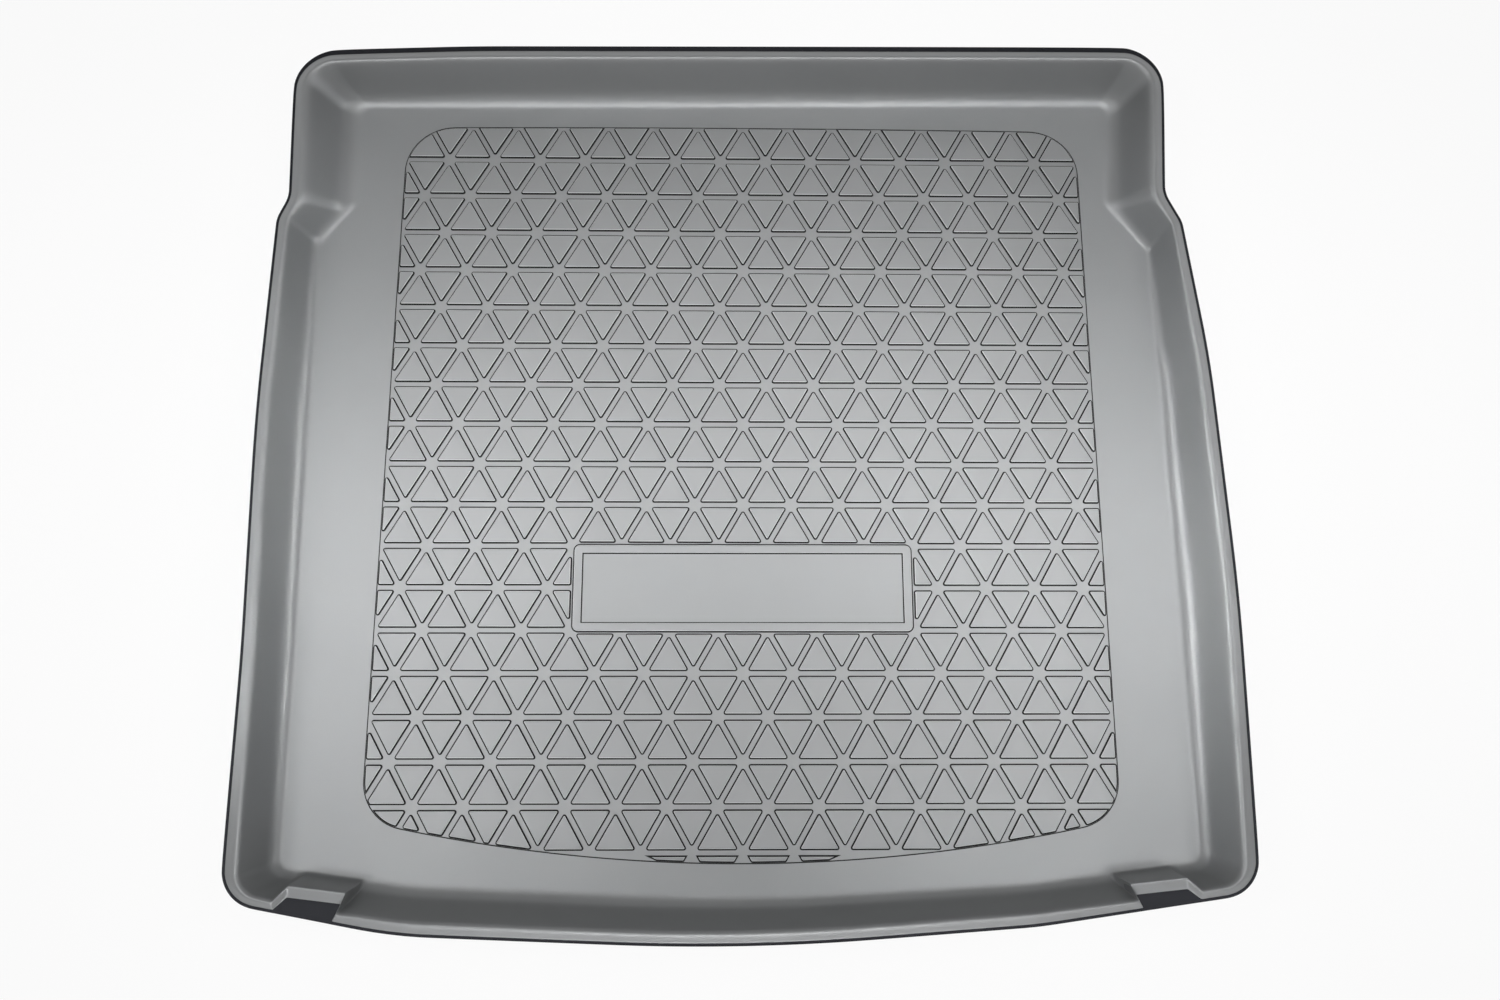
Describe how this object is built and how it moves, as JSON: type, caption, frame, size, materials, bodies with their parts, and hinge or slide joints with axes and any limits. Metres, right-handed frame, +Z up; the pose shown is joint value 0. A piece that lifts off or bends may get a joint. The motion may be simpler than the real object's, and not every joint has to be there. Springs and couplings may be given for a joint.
{
  "type": "boot liner mat",
  "caption": "Tray-shaped mat for the boot of a family car: raised sloping rim with rounded corners, studded non-slip floor with a framed plate field, and notches in the front rim.",
  "frame": {"origin": "middle of the mat's footprint, on the ground it rests on", "axes": "+Z up, +Y towards the back of the picture, away from the notched front rim, +X to the right when seen from the front"},
  "size_m": [0.9868, 0.9378, 0.0535],
  "materials": {
    "moulded_grey": "finely grained satin grey"
  },
  "bodies": {
    "root": {"boot_liner": "moulded_grey"}
  },
  "joints": []
}
